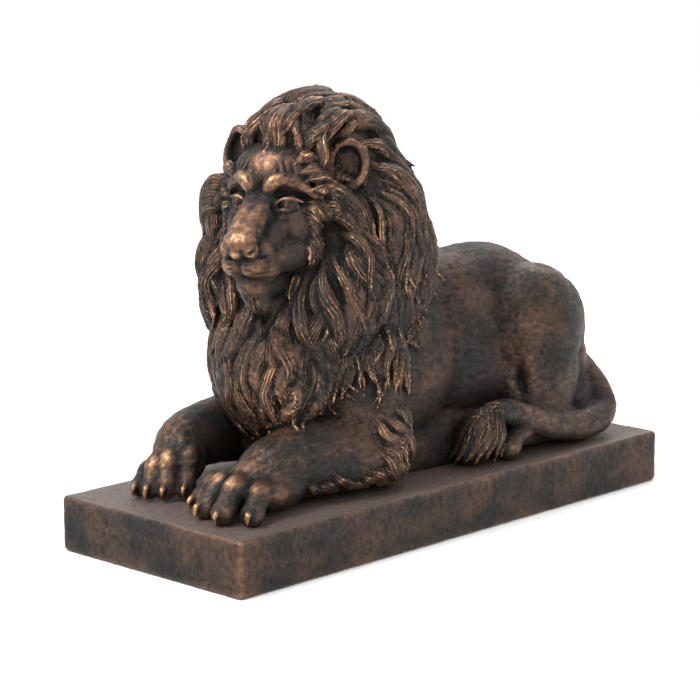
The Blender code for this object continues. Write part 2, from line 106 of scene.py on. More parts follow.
def curve_through(points, count):
    """A Catmull-Rom curve through the points, read at even steps."""
    p = np.array(points, float)
    p = np.vstack([2 * p[0] - p[1], p, 2 * p[-1] - p[-2]])
    at = np.linspace(0, len(p) - 3 - 1e-9, count)
    i = at.astype(int)
    t = (at - i)[:, None]
    a, b, c, d = p[i], p[i + 1], p[i + 2], p[i + 3]
    square = 2 * a - 5 * b + 4 * c - d
    cube = 3 * b - a - 3 * c + d
    return 0.5 * (2 * b + (c - a) * t + square * t**2 + cube * t**3)


def ease(low, high, value):
    """A smooth step from 0 at low to 1 at high."""
    t = min(max((value - low) / (high - low), 0.0), 1.0)
    return t * t * (3 - 2 * t)


def mirrored(points, side):
    """The points as they are on the left side, 1, or their mirror images on the right side, -1."""
    return [(side * x, y, z) for x, y, z in points]


def placed(name, data):
    """A new object in the scene."""
    obj = bpy.data.objects.new(name, data)
    bpy.context.scene.collection.objects.link(obj)
    return obj


def mesh_from(bm, name):
    mesh = bpy.data.meshes.new(name)
    bm.to_mesh(mesh)
    bm.free()
    return mesh


# How much of its width and height a lock loses towards its tip
LOCK_TAPER = 0.92


class Forms:
    """Closed forms gathered in one mesh, before they are fused."""

    def __init__(self, frame=Matrix.Identity(4)):
        self.bm = bmesh.new()
        self.frame = frame
        self.locks = []

    def ball(self, centre, radii, turn=(0, 0, 0)):
        """An ellipsoid, turned by angles in degrees about X, Y and Z."""
        angles = Euler([math.radians(t) for t in turn])
        place = Matrix.Translation(centre) @ angles.to_matrix().to_4x4() @ Matrix.Diagonal((*radii, 1))
        bmesh.ops.create_uvsphere(self.bm, u_segments=32, v_segments=20, radius=1, matrix=self.frame @ place)

    def pair(self, centre, radii, turn=(0, 0, 0)):
        """An ellipsoid and its mirror image across the middle plane."""
        for side in (1, -1):
            self.ball((side * centre[0], *centre[1:]), radii, (turn[0], side * turn[1], side * turn[2]))

    def limb(self, points, radii, sides=20, steps=None):
        """A round form along a curve, with a radius at each of its points and rounded ends."""
        steps = steps or 8 * len(points)
        path = curve_through(points, steps)
        size = curve_through(np.array(radii, float)[:, None], steps)[:, 0]
        tangents = np.gradient(path, axis=0)
        stations = []
        for i in range(steps):
            tangent = Vector(tangents[i]).normalized()
            side = tangent.cross(Vector((0, 0, 1)))
            side = side.normalized() if side.length > 0.05 else Vector((1, 0, 0))
            stations.append((Vector(path[i]), side, side.cross(tangent), tangent, size[i]))
        rounds = [math.radians(a) for a in (80, 60, 40, 20)]
        rings = [self._ring(*self._cap(stations[0], -1, a), sides) for a in rounds]
        rings += [self._ring(c, s, u, r, r, sides) for c, s, u, _, r in stations]
        rings += [self._ring(*self._cap(stations[-1], 1, a), sides) for a in reversed(rounds)]
        self._skin(rings, sides)

    def lock(self, path, normals, width, height, sides=10, strands=3, root=0.3):
        """A lock of hair: a flat form lying along a path on the skin, swelling and then drawn to a tip."""
        rings = []
        count = len(path)
        for i in range(count):
            t = i / (count - 1)
            tangent = (path[min(i + 1, count - 1)] - path[max(i - 1, 0)]).normalized()
            side = normals[i].cross(tangent).normalized()
            swell = (root + (1 - root) * ease(0, 0.3, t)) * (1 - ease(0.5, 1.0, t) * LOCK_TAPER)
            rings.append(self._ring(path[i], side, normals[i], width * swell, height * swell, sides))
            turned = self.frame.to_3x3()
            size = (width * swell, height * swell)
            self.locks.append((self.frame @ path[i], turned @ side, turned @ normals[i], size, strands, t))
        self._skin(rings, sides)

    def _cap(self, station, way, angle):
        centre, side, top, tangent, r = station
        centre = centre + tangent * way * r * math.sin(angle)
        return centre, side, top, r * math.cos(angle), r * math.cos(angle)

    def _ring(self, centre, side, top, wide, high, sides):
        angles = [2 * math.pi * i / sides for i in range(sides)]
        points = [centre + side * wide * math.cos(a) + top * high * math.sin(a) for a in angles]
        return [self.bm.verts.new(self.frame @ p) for p in points]

    def _skin(self, rings, sides):
        for a, b in zip(rings, rings[1:]):
            for i in range(sides):
                j = (i + 1) % sides
                self.bm.faces.new((a[i], a[j], b[j], b[i]))
        self.bm.faces.new(list(reversed(rings[0])))
        self.bm.faces.new(rings[-1])

    def add(self, mesh):
        self.bm.from_mesh(mesh)

    def to_mesh(self, name="forms"):
        bmesh.ops.recalc_face_normals(self.bm, faces=self.bm.faces)
        return mesh_from(self.bm, name)


def modified(mesh, *settings):
    """The mesh after a list of modifiers, each given as its type and its settings."""
    obj = placed("work", mesh)
    for kind, values in settings:
        modifier = obj.modifiers.new(kind, kind)
        for key, value in values.items():
            setattr(modifier, key, value)
    result = bpy.data.meshes.new_from_object(obj.evaluated_get(bpy.context.evaluated_depsgraph_get()))
    bpy.data.objects.remove(obj)
    return result


def fuse(mesh, voxel, passes):
    """The gathered forms as one skin: a voxel remesh, then smoothing passes."""
    return modified(
        mesh,
        ("REMESH", {"mode": "VOXEL", "voxel_size": voxel}),
        ("SMOOTH", {"factor": 0.5, "iterations": passes}),
    )


def corners(mesh):
    co = np.empty(len(mesh.vertices) * 3, np.float32)
    mesh.vertices.foreach_get("co", co)
    return co.reshape(-1, 3)


def normals_of(mesh):
    no = np.empty(len(mesh.vertices) * 3, np.float32)
    mesh.vertex_normals.foreach_get("vector", no)
    return no.reshape(-1, 3)


def move_to(mesh, co):
    mesh.vertices.foreach_set("co", co.ravel())
    mesh.update()


def store(mesh, name, values):
    """Keeps one number for each corner, for the finish to read."""
    layer = mesh.attributes.new(name, "FLOAT", "POINT")
    layer.data.foreach_set("value", values.astype(np.float32))


class Strokes:
    """Soft grooves and ridges along curves, pressed into a skin together."""

    def __init__(self, frame=Matrix.Identity(4)):
        self.frame = frame
        self.list = []

    def add(self, points, width, depth, taper=True):
        """A groove of that half-width along a curve, or a ridge where the depth is negative."""
        path = curve_through(points, 10 * len(points))
        path = np.array([self.frame @ Vector(p) for p in path])
        t = np.linspace(0, 1, len(path))
        fade = np.clip(np.minimum(t, 1 - t) / 0.2, 0, 1) if taper else np.ones(len(path))
        self.list.append((path, width, depth * fade))

    def both(self, points, width, depth, taper=True):
        """The same stroke on both sides of the middle plane."""
        for side in (1, -1):
            self.add(mirrored(points, side), width, depth, taper)

    def press(self, mesh):
        co = corners(mesh)
        no = normals_of(mesh)
        shift = np.zeros(len(co), np.float32)
        for path, width, depth in self.list:
            low = path.min(axis=0) - 2.5 * width
            high = path.max(axis=0) + 2.5 * width
            near = np.nonzero(np.all((co > low) & (co < high), axis=1))[0]
            if len(near) == 0:
                continue
            gaps = ((co[near][:, None, :] - path[None]) ** 2).sum(axis=2)
            at = gaps.argmin(axis=1)
            gap = gaps[np.arange(len(near)), at]
            shift[near] += depth[at] * np.exp(-gap / width**2)
        move_to(mesh, co - no * shift[:, None])


# The body's masses
def torso(forms):
    forms.ball((0, -10, 100), (74, 105, 92))
    forms.ball((0, 95, 98), (70, 110, 90))
    forms.limb([(0, 20, 154), (0, 95, 154), (0, 155, 155), (0, 205, 140)], [44, 46, 46, 40])
    forms.ball((0, 200, 98), (60, 56, 84))
    forms.ball((0, -60, 110), (70, 80, 100))
    forms.ball((0, 70, 20), (66, 190, 60))
    forms.ball((0, -92, 20), (58, 66, 60))


def haunch(forms, side):
    forms.ball((side * 46, 178, 136), (40, 56, 46))
    forms.ball((side * 57, 178, 112), (36, 58, 58))
    forms.ball((side * 64, 170, 70), (32, 54, 58))
    forms.ball((side * 66, 164, 40), (29, 50, 42))
    forms.ball((side * 44, 222, 112), (30, 34, 52))
    forms.ball((side * 46, 224, 70), (30, 34, 52))


def left_foreleg(forms):
    forms.limb([(52, -90, 150), (62, -86, 100), (65, -78, 46)], [36, 40, 37])
    forms.limb(
        [(65, -74, 38), (61, -110, 39), (53, -150, 37), (49, -188, 32), (49, -216, 24)],
        [37, 38, 36, 32, 25],
    )
    forms.ball((50, -200, 22), (37, 38, 26))


def right_foreleg(forms):
    forms.limb([(-52, -90, 150), (-64, -86, 100), (-68, -78, 46)], [36, 40, 37])
    forms.limb(
        [(-66, -70, 38), (-76, -110, 42), (-68, -160, 45), (-60, -198, 42), (-50, -220, 30)],
        [37, 35, 31, 28, 23],
    )


MANE_BALLS = [
    ((0, -62, 205), (88, 88, 98)),
    ((0, -112, 120), (70, 70, 84)),
    ((30, -98, 180), (62, 70, 66)),
    ((-30, -98, 180), (64, 72, 68)),
    ((2, -84, 284), (60, 80, 80)),
    ((8, -58, 250), (74, 66, 72)),
    ((0, -40, 205), (84, 66, 76)),
]


def mane_mass(forms):
    for centre, radii in MANE_BALLS:
        forms.ball(centre, radii)


def tail(forms):
    path = [
        (20, 225, 95),
        (46, 246, 72),
        (66, 258, 46),
        (82, 252, 24),
        (91, 220, 17),
        (92, 180, 20),
        (92, 145, 29),
        (91, 104, 46),
        (88, 74, 50),
        (84, 50, 38),
    ]
    forms.limb(path, [16, 17, 17, 17, 16, 15, 14, 13, 12, 9], steps=80)
    forms.ball((56, 228, 30), (28, 30, 46))


# The mane beside the far cheek, in the head's frame
CHEEK_MANE = [((-44, 0, -56), (38, 38, 50)), ((-47, -2, -108), (38, 37, 52))]


def skull(forms):
    forms.ball((0, 5, -30), (56, 60, 53))
    forms.ball((0, -20, -40), (42, 40, 40))
    forms.ball((0, -40, -90), (24, 40, 30))
    for centre, radii in CHEEK_MANE:
        forms.ball(centre, radii)


def coarse_skin():
    """The lion's masses, fused and smoothed."""
    body = Forms()
    torso(body)
    for side in (1, -1):
        haunch(body, side)
    left_foreleg(body)
    right_foreleg(body)
    mane_mass(body)
    tail(body)
    head = Forms(HEAD)
    skull(head)
    body.add(head.to_mesh())
    return fuse(body.to_mesh(), COARSE_VOXEL, COARSE_PASSES)


# The finer forms
BROW = [(6, -68, -30), (11, -71, -19), (19, -67, -14), (28, -59, -17), (37, -51, -24), (43, -43, -31)]


def face(forms):
    """The face in the head's frame: brow, bridge, cheeks, muzzle, nose and chin."""
    forms.ball((0, -34, -14), (40, 36, 33))
    forms.pair((25, -37, -62), (19, 32, 35))
    forms.pair((9, -98, -88), (13.5, 17, 13))
    forms.pair((15, -84, -92), (13, 18, 13))
    forms.ball((0, -62, -108), (22, 36, 18))
    forms.ball((0, -82, -112), (17, 15, 9))
    forms.ball((1, -78, -119), (15, 15, 12))
    forms.ball((2, -77, -126), (13, 13, 12))
    forms.ball((0, -110, -66), (16, 14, 10), (22, 0, 0))
    forms.pair((11.5, -112, -74), (6.5, 9, 7))
    forms.ball((0, -116, -76), (7, 8, 7))
    for side in (1, -1):
        forms.limb(mirrored(BROW, side), [5, 7, 6.6, 5.6, 4.8, 4])
        forms.limb([(side * 4, -46, -26), (side * 5, -71, -40), (side * 5, -101, -61)], [14, 12, 11])
        forms.limb([(side * 17, -44, -46), (side * 15, -66, -60), (side * 13, -92, -76)], [13, 13, 13])
        forms.limb([(side * 13, -88, -84), (side * 21, -66, -82), (side * 29, -40, -80)], [14, 17, 18])
        forms.limb([(side * 22, -58, -50), (side * 36, -46, -48), (side * 44, -30, -46)], [8, 8, 7])


# The eyes, lids and ears in the head's frame, with angles from the eye's axis in radians
EYE = (24, -59, -36.5)
EYE_RADIUS = 8.4
IRIS_ANGLE = 0.52
PUPIL_ANGLE = 0.17
UPPER_LID = [(12, -69, -43), (18, -68, -34), (26, -65.5, -31.5), (33, -58, -34), (41, -48, -40)]
LOWER_LID = [(12, -69, -44), (18, -67, -42.5), (26, -64, -42.5), (34, -57, -39.5)]
EAR_PLACES = {1: Vector((58, -5, -5)), -1: Vector((-52, -9, 3))}
EAR_HALF_WIDTH = 15.5
EAR_HALF_HEIGHT = 21


def lids(forms):
    for side in (1, -1):
        forms.limb(mirrored(UPPER_LID, side), [1.1, 1.5, 1.6, 1.5, 1.0], sides=10)
        forms.limb(mirrored(LOWER_LID, side), [1.0, 1.3, 1.3, 1.0], sides=10)
        forms.ball((side * EYE[0], EYE[1] + 0.8, EYE[2]), (EYE_RADIUS, EYE_RADIUS, EYE_RADIUS))


def eyeballs():
    """Both eyes as smooth balls with a ringed iris and a sunk pupil, in the head's frame."""
    bm = bmesh.new()
    for side in (1, -1):
        gaze = Vector((side * 0.3 - 0.05, -1, -0.12)).normalized()
        turn = gaze.to_track_quat("Z", "Y").to_matrix().to_4x4()
        place = HEAD @ Matrix.Translation((side * EYE[0], EYE[1], EYE[2])) @ turn
        made = bmesh.ops.create_uvsphere(bm, u_segments=40, v_segments=48, radius=EYE_RADIUS)["verts"]
        for v in made:
            angle = math.acos(max(-1, min(1, v.co.z / EYE_RADIUS)))
            ring = 0.7 * math.exp(-(((angle - IRIS_ANGLE) / 0.08) ** 2))
            pupil = 1.3 * math.exp(-((angle / PUPIL_ANGLE) ** 2))
            v.co *= 1 + (0.25 * math.exp(-((angle / 0.5) ** 4)) - ring - pupil) / EYE_RADIUS
        bmesh.ops.transform(bm, matrix=place, verts=made)
    return mesh_from(bm, "eyeballs")


def socket_strokes(mesh):
    """The eye sockets and the furrow of the brow, pressed into the skin before the lids are laid on."""
    strokes = Strokes(HEAD)
    strokes.both([(12, -76, -42), (20, -72, -38), (29, -65, -37), (37, -54, -39)], 4.8, 5.0)
    strokes.both([(20, -71, -24), (25, -69, -24), (30, -65, -26)], 2.8, 3.0)
    strokes.both([(16, -76, -50), (28, -66, -51), (40, -50, -48)], 3.5, 1.4)
    strokes.add([(1, -66, 6), (1, -76, -10), (0, -80, -28)], 3.0, 3.6)
    strokes.both([(10, -82, -37), (15, -86, -54), (19, -98, -70)], 4.0, 1.6)
    strokes.both([(22, -96, -76), (28, -78, -74), (34, -60, -70)], 6.0, 2.0)
    for place in EAR_PLACES.values():
        hollow = [place + Vector((0, 4, z)) for z in (-9, 0, 9)]
        strokes.add(hollow, 13, 13, False)
    strokes.press(mesh)


def face_strokes(mesh):
    strokes = Strokes(HEAD)
    # Nostrils, the groove of the upper lip and the mouth
    strokes.both([(5, -126, -79), (10, -124, -79), (15, -118, -76), (17, -111, -71)], 2.2, 4.5)
    strokes.add([(0, -128, -82), (0, -120, -90), (0, -112, -100)], 1.9, 3.8, False)
    mouth = [(0, -112, -101), (9, -108, -104), (18, -98, -105), (25, -84, -103), (30, -72, -101)]
    strokes.both(mouth, 2.5, 6)
    strokes.both([(4, -100, -117), (14, -96, -118), (22, -84, -118)], 2.2, 1.2)
    # Whisker rows
    for k in range(4):
        strokes.both([(4, -116, -83 - 4.5 * k), (14, -110, -82 - 5 * k), (24, -96, -80 - 5 * k)], 1.5, 1.5)
    # Furrows on the brow, and short fur on the forehead and cheeks
    rng = random.Random(5)
    for k in range(7):
        strokes.both([(3 + 5 * k, -69 + 3 * k, 8), (5 + 6 * k, -75 + 4 * k, -9)], 1.4, 1.5)
    for k in range(16):
        x, z = rng.uniform(5, 36), rng.uniform(-22, -8)
        y = -80 + 0.5 * x
        strokes.both([(x, y, z), (x + 3, y + 2, z + 5), (x + 5, y + 5, z + 9)], 1.2, 1.1)
    for k in range(40):
        x, z = rng.uniform(14, 42), rng.uniform(-94, -50)
        y = -82 + 0.95 * x
        strokes.both([(x, y, z), (x + 5, y + 6, z - 3), (x + 9, y + 12, z - 9)], 1.3, 1.0)
    # The lines behind and before the eye
    strokes.both([(35, -56, -37), (41, -46, -40), (47, -36, -41)], 1.8, 2.2)
    strokes.both([(13, -72, -43), (9, -79, -50)], 1.8, 2.2)
    # Hair of the chin
    for k in range(9):
        x = -16 + 4 * k
        strokes.add([(x, -92, -118), (x * 1.05, -90, -129), (x * 0.9, -78, -139)], 1.4, 1.8)
    strokes.press(mesh)


def cheek_fur(forms, tree):
    """Short ragged tufts that stand out along the edge of the cheek."""
    rng = random.Random(3)
    for side in (1, -1):
        for k in range(9):
            drop = 5.6 * k
            x = 43 + 4 * math.sin(0.06 * drop) - 0.008 * drop * drop
            root = HEAD @ Vector((side * (x - 10), -52 + 0.1 * drop, -35 - drop))
            aim = HEAD.to_3x3() @ Vector((side * (0.6 - 0.08 * k), 0.7 - 0.08 * k, -0.5 - 0.07 * k))
            size = rng.uniform(4.5, 6.5)
            length = rng.uniform(27, 36)
            path, normals = comb(tree, root, length, lambda _: aim, 5, 0.15, 0.2, side * 0.4, 16, 0.5)
            forms.lock(path, normals, size, size * 0.45, strands=2)


def laid(forms, tree, points, width, height, lift, strands=4, steps=24):
    """A lock along a curve given in the head's frame and laid on the skin."""
    path = []
    normals = []
    for i, point in enumerate(curve_through(points, steps)):
        near, normal, _, _ = tree.find_nearest(HEAD @ Vector(point))
        t = i / (steps - 1)
        path.append(near + normal * lift * (0.2 + 0.8 * ease(0, 0.3, t)))
        normals.append(normal.copy())
    for _ in range(5):
        path[1:-1] = [(a + 2 * b + c) / 4 for a, b, c in zip(path, path[1:], path[2:])]
        normals[1:-1] = [(a + 2 * b + c) / 4 for a, b, c in zip(normals, normals[1:], normals[2:])]
    forms.lock(path, [n.normalized() for n in normals], width, height, strands=strands, root=0.15)


def temple_hair(forms, tree):
    """Ruffled hair between brow and ear, and the locks that curl from the temple down below the ear."""
    rng = random.Random(13)
    for side in (1, -1):
        for k in range(1, 5):
            x = 28 + 3.4 * k + rng.uniform(-2, 2)
            z = (9 if side > 0 else -10) - 8 * k + rng.uniform(-2, 2)
            lean = rng.uniform(-5, 5)
            points = [
                (x, -58 + 2 * k, z),
                (x + 9, -46 + 2 * k, z + 5 + lean),
                (x + 17, -33, z - 1 - lean),
                (x + 22, -22, z - 8),
            ]
            laid(forms, tree, mirrored(points, side), rng.uniform(5.5, 8), 6, rng.uniform(3, 6), 2)
        for k in range(5):
            low = 5 * k
            points = [
                (40 + 1.5 * k, -44 + 2 * k, -30 - low),
                (52 + 2 * k, -34 + k, -24 - 1.2 * low),
                (68 + k, -20, -32 - 1.3 * low),
                (80, -12, -58 - 1.3 * low),
                (82 + 3 * math.sin(2 * k), -12 - 3 * k, -88 - low),
            ]
            laid(forms, tree, mirrored(points, side), 8.5 - 0.6 * k, 7, 6 - 0.5 * k, 4, 30)


def ear(forms, side):
    """A cupped ear: a thick rim around a hollow, opening forwards and outwards, with hair at its foot."""
    centre = EAR_PLACES[side]
    angles = (-8, 0, side * 24)
    turn = Euler([math.radians(t) for t in angles]).to_matrix()
    rim = []
    for i in range(13):
        a = math.radians(-95 + 330 * i / 12)
        x = side * EAR_HALF_WIDTH * math.cos(a)
        rim.append(centre + turn @ Vector((x, 1.5 * math.sin(3 * a), EAR_HALF_HEIGHT * math.sin(a))))
    forms.limb(rim, [4.2, 4.2, 3.8, 3.4, 3.2, 3.3, 3.6, 3.8, 3.6, 3.4, 3.2, 3, 2.6], sides=12, steps=60)
    # The back of the cup
    behind = [place + turn @ Vector((0, 5.5, 0)) for place in rim]
    forms.limb(behind, [4.4] * len(behind), sides=12, steps=60)
    forms.ball(centre + turn @ Vector((0, 9, 0)), (16, 4.5, 21), angles)
    forms.ball(centre + turn @ Vector((0, 15, -1)), (18, 7, 23), angles)
    forms.ball(centre + turn @ Vector((side * 15, 8, -1)), (4, 9, 20), angles)
    for k in range(4):
        foot = centre + turn @ Vector((side * (-13 + 4 * k), -2, -20 + 1.5 * k))
        top = centre + turn @ Vector((side * (-9 + 5 * k), 6, 2 - 4 * k))
        path, normals = follow([foot, (foot + top) / 2 + Vector((0, -3, 0)), top], (0, -1, 0.2), 12)
        forms.lock(path, normals, 3.6, 3, strands=2)


def toe(forms, knuckle, tip, radius, back=2.6):
    """A toe bent over its knuckle, with a tendon behind it."""
    knuckle = Vector(knuckle)
    tip = Vector(tip)
    way = (tip - knuckle).normalized()
    ahead = Vector((way.x, way.y, 0)).normalized()
    root = knuckle - ahead * back * radius + Vector((0, 0, 0.1 * radius))
    middle = (knuckle + tip) / 2 + Vector((0, 0, 1.5))
    forms.limb([root, knuckle, middle, tip], [radius * 0.8, radius, radius * 0.86, radius * 0.95])


def claw(forms, knuckle, tip, radius):
    """A short hooked claw that grows out of the top of a toe."""
    ahead = Vector((tip[0] - knuckle[0], tip[1] - knuckle[1], 0)).normalized()
    tip = Vector(tip)
    bed = tip + ahead * radius * 0.35 + Vector((0, 0, 5.5))
    bend = tip + ahead * radius * 1.12 + Vector((0, 0, 2.5))
    end = tip + ahead * radius * 1.25 + Vector((0, 0, -5))
    forms.limb([bed, bend, end], [3.4, 3.0, 1.3], sides=10)


# The toes of the paws, each with its knuckle, its tip and its radius
LEFT_TOES = [
    ((14, -231, 20), (14, -247, 9), 11.8),
    ((35, -239, 26), (37, -262, 9), 12.2),
    ((57, -243, 27), (65, -268, 9), 12.2),
    ((77, -233, 23), (87, -253, 9), 11.8),
]
RIGHT_TOES = [
    ((-70, -235, 21), (-63, -253, 9), 9.6),
    ((-57, -237, 30), (-48, -254, 9), 9.6),
    ((-43, -232, 37), (-34, -247, 9), 9.6),
    ((-30, -220, 39), (-22, -232, 10), 9.6),
]
HIND_TOES = [((87, 118, 27), (92, 94, 12), 13.0), ((72, 112, 25), (74, 88, 11), 12.0)]


def left_paw(forms):
    forms.ball((50, -218, 20), (40, 30, 19))
    for place in LEFT_TOES:
        toe(forms, *place)


def right_paw(forms):
    forms.ball((-52, -212, 32), (27, 24, 28), (0, 20, 0))
    for place in RIGHT_TOES:
        toe(forms, *place)


def hind_foot(forms, side):
    forms.limb([(side * 66, 200, 16), (side * 74, 150, 18), (side * 82, 122, 20)], [16, 15, 13])
    for (x, y, z), (tip_x, tip_y, tip_z), radius in HIND_TOES:
        toe(forms, (side * x, y, z), (side * tip_x, tip_y, tip_z), radius, 1.5)


def claws(forms):
    for place in LEFT_TOES + RIGHT_TOES:
        claw(forms, *place)
    for side in (1, -1):
        for (x, y, z), (tip_x, tip_y, tip_z), radius in HIND_TOES:
            claw(forms, (side * x, y, z), (side * tip_x, tip_y, tip_z), radius)


def follow(points, facing, steps=22):
    """A smooth path through the points, with the normals of a form lying along it and facing one way."""
    path = [Vector(p) for p in curve_through(points, steps)]
    return path, [Vector(facing).normalized() for _ in path]


TUFT_TIPS = [
    (92, 72, 3), (96, 63, 2), (95, 50, 3), (92, 38, 2), (86, 30, 3),
    (77, 26, 2), (67, 30, 4), (57, 38, 3), (50, 50, 8), (60, 60, 12),
]


def tail_tuft(forms):
    """The tuft hangs from the tail's end over the foot and fans out on the ground."""
    forms.ball((76, 60, 22), (16, 26, 26))
    for k, tip in enumerate(TUFT_TIPS):
        for layer in (0, 1):
            turn = math.radians(-34 + 16 * k + 8 * layer)
            out = Vector((math.cos(turn), -math.sin(turn), 0))
            start = Vector((86, 92 - k, 51 - 3 * layer)) + out * 3
            end = Vector(tip) + out * (2 - 9 * layer)
            middle = (end + Vector((84, 66, 42))) / 2 + out * (11 - 4 * layer) + Vector((0, 0, 4))
            bend = Vector((85, 72 - 1.5 * k, 49)) + out * (7 - 2 * layer)
            path, normals = follow([start, bend, middle, end], out + Vector((0, 0, 0.3)))
            forms.lock(path, normals, 9, 6, strands=4)


def arm_fringe(forms, tree):
    """Ragged hair along the lower edge of the forearm and behind the elbow."""
    rng = random.Random(11)
    for side in (1, -1):

        def along(_, side=side):
            return Vector((side * 0.35, 0.75, -0.6))

        def behind(p, side=side):
            return Vector((side * 0.3, 1, -0.9 + 1.1 * noise.noise(p * 0.05)))

        for k in range(12):
            y = -178 + 10 * k + rng.uniform(-4, 4)
            root = Vector((side * (97 + 0.05 * y), y, rng.uniform(14, 28)))
            length = rng.uniform(24, 38)
            path, normals = comb(tree, root, length, along, 2.5, 0.15, rng.random(), 0.3, steps=14)
            forms.lock(path, normals, rng.uniform(3.5, 6), 2.6, strands=3)
        for k in range(20):
            root = Vector((side * (95 + rng.uniform(-8, 8)), -88 + rng.uniform(-16, 16), 16 + 3.6 * k))
            length = rng.uniform(34, 66)
            path, normals = comb(tree, root, length, behind, 3.5, 0.25, rng.random(), 0.5, steps=18)
            forms.lock(path, normals, rng.uniform(3.5, 6.5), 3.2, strands=3)


def body_strokes(mesh):
    strokes = Strokes()
    # The furrow before the thigh, the one between thigh and buttock, and the fold under the knee
    strokes.both([(60, 124, 176), (76, 116, 130), (82, 120, 90), (86, 128, 50)], 9, 13)
    strokes.both([(58, 128, 168), (76, 119, 130), (82, 122, 90), (86, 130, 40)], 4, 4)
    strokes.both([(66, 214, 172), (86, 220, 130), (90, 222, 80), (84, 214, 50)], 5, 10)
    strokes.both([(40, 150, 192), (54, 176, 186), (62, 205, 176)], 5, 3)
    # Ribs and flank
    strokes.both([(76, 10, 150), (84, 30, 110), (80, 40, 60)], 14, 2.5)
    strokes.press(mesh)


# The mane
HEAD_BACK = HEAD.inverted()
NECK_AXIS = Vector((0, -80, 0))
FACE_CENTRE = Vector((0, -60, -50))
# The layers of the mane: spacing of the roots, half-width, height as a share of it, lift and length
LOCK_LAYERS = [(15, 8.2, 0.95, 4.5, 130), (21, 5.2, 1.05, 8, 125), (15, 2.8, 1.2, 9.5, 90)]
# Thin strands are narrower than this and start this far from the face
THIN_LOCK = 4
STRANDS_FROM_FACE = 88
# The bare face is an ellipse seen from the front, and the locks start this far from an ear and from the hem
FACE_HALF_WIDTH = 44
FACE_HALF_HEIGHT = 70
FACE_MIDDLE = -62
FACE_BACK = -14
ROOTS_FROM_EAR = 26
ROOTS_OVER_HEM = 32
# How far out of the mane's balls a root may lie, as a share of their radii, squared
MANE_REACH = 1.12


def hem_height(p):
    """How low the mane hangs there: near the ground on the chest, higher on the sides and back."""
    out = p - NECK_AXIS
    turn = abs(math.degrees(math.atan2(out.x, -out.y)))
    wave = 7 * math.sin(0.13 * turn) + 5 * math.sin(0.37 * turn + 1)
    return 80 + 50 * ease(25, 75, turn) + 54 * ease(95, 150, turn) + wave * ease(40, 60, turn)


def has_mane(p):
    """Whether a lock of the mane is rooted at that point of the skin."""
    q = HEAD_BACK @ p
    from_middle = (q.x / FACE_HALF_WIDTH) ** 2 + ((q.z - FACE_MIDDLE) / FACE_HALF_HEIGHT) ** 2
    if q.y < FACE_BACK and from_middle < 1:
        return False
    if any((q - place).length < ROOTS_FROM_EAR for place in EAR_PLACES.values()):
        return False
    if p.z < hem_height(p) + ROOTS_OVER_HEM:
        return False
    places = [(p, c, r) for c, r in MANE_BALLS] + [(q, c, r) for c, r in CHEEK_MANE]
    return min(sum(((a[k] - c[k]) / r[k]) ** 2 for k in range(3)) for a, c, r in places) < MANE_REACH


def has_strand(p):
    """Whether a thin strand is rooted there: on the mane, away from the face."""
    return has_mane(p) and (HEAD_BACK @ p - FACE_CENTRE).length > STRANDS_FROM_FACE


def mane_flow(p):
    """The way the hair lies: up and back over the crown, away from the face, then down."""
    q = HEAD_BACK @ p
    away = Vector((q.x, q.y + 30, q.z + 50))
    near_face = 0.7 * math.exp(-((away.length / 80) ** 2))
    crown = ease(-30, 10, q.z) * (1 - ease(10, 75, q.y))
    way = away.normalized() * near_face + Vector((0, 0, -1)) * (1 - near_face) * (1 - crown)
    way += Vector((0.15, 1, 0.35)) * crown + Vector((0, 0.35 * near_face, 0))
    for place in EAR_PLACES.values():
        off = q - place
        way += off.normalized() * 1.8 * math.exp(-((off.length / 30) ** 2))
    return HEAD.to_3x3() @ way


def scatter(mesh, wanted, spacing, rng):
    """Corners of the skin that lie about a spacing apart and where a test holds."""
    order = list(range(len(mesh.vertices)))
    rng.shuffle(order)
    cells = {}
    chosen = []
    for v in order:
        p = mesh.vertices[v].co
        cell = tuple(int(math.floor(c / spacing)) for c in p)
        around = (tuple(c + d for c, d in zip(cell, step)) for step in product((-1, 0, 1), repeat=3))
        if any((p - q).length < spacing for c in around for q in cells.get(c, ())):
            continue
        if wanted(p):
            cells.setdefault(cell, []).append(p.copy())
            chosen.append(p.copy())
    return chosen


def tree_of(mesh):
    spots = [v.co.copy() for v in mesh.vertices]
    return BVHTree.FromPolygons(spots, [tuple(p.vertices) for p in mesh.polygons])


def comb(tree, start, length, flow, lift, sway, phase, curl, steps=26, tip=0.75):
    """A path creeping over the skin the way the flow leads, swaying, and curled at its tip."""
    point = Vector(start)
    path = []
    normals = []
    for i in range(steps):
        t = i / (steps - 1)
        near, normal, _, _ = tree.find_nearest(point)
        way = flow(near)
        way = (way - normal * way.dot(normal)).normalized()
        side = normal.cross(way)
        bend = sway * math.sin(math.tau * (1.3 * t + phase)) + curl * ease(0.65, 1, t)
        way = (way + side * bend).normalized()
        rise = -0.35 + 0.95 * ease(0.0, 0.35, t) + tip * ease(0.6, 1, t)
        path.append(near + normal * lift * rise)
        normals.append(normal.copy())
        point = near + way * length / (steps - 1)
    return path, normals


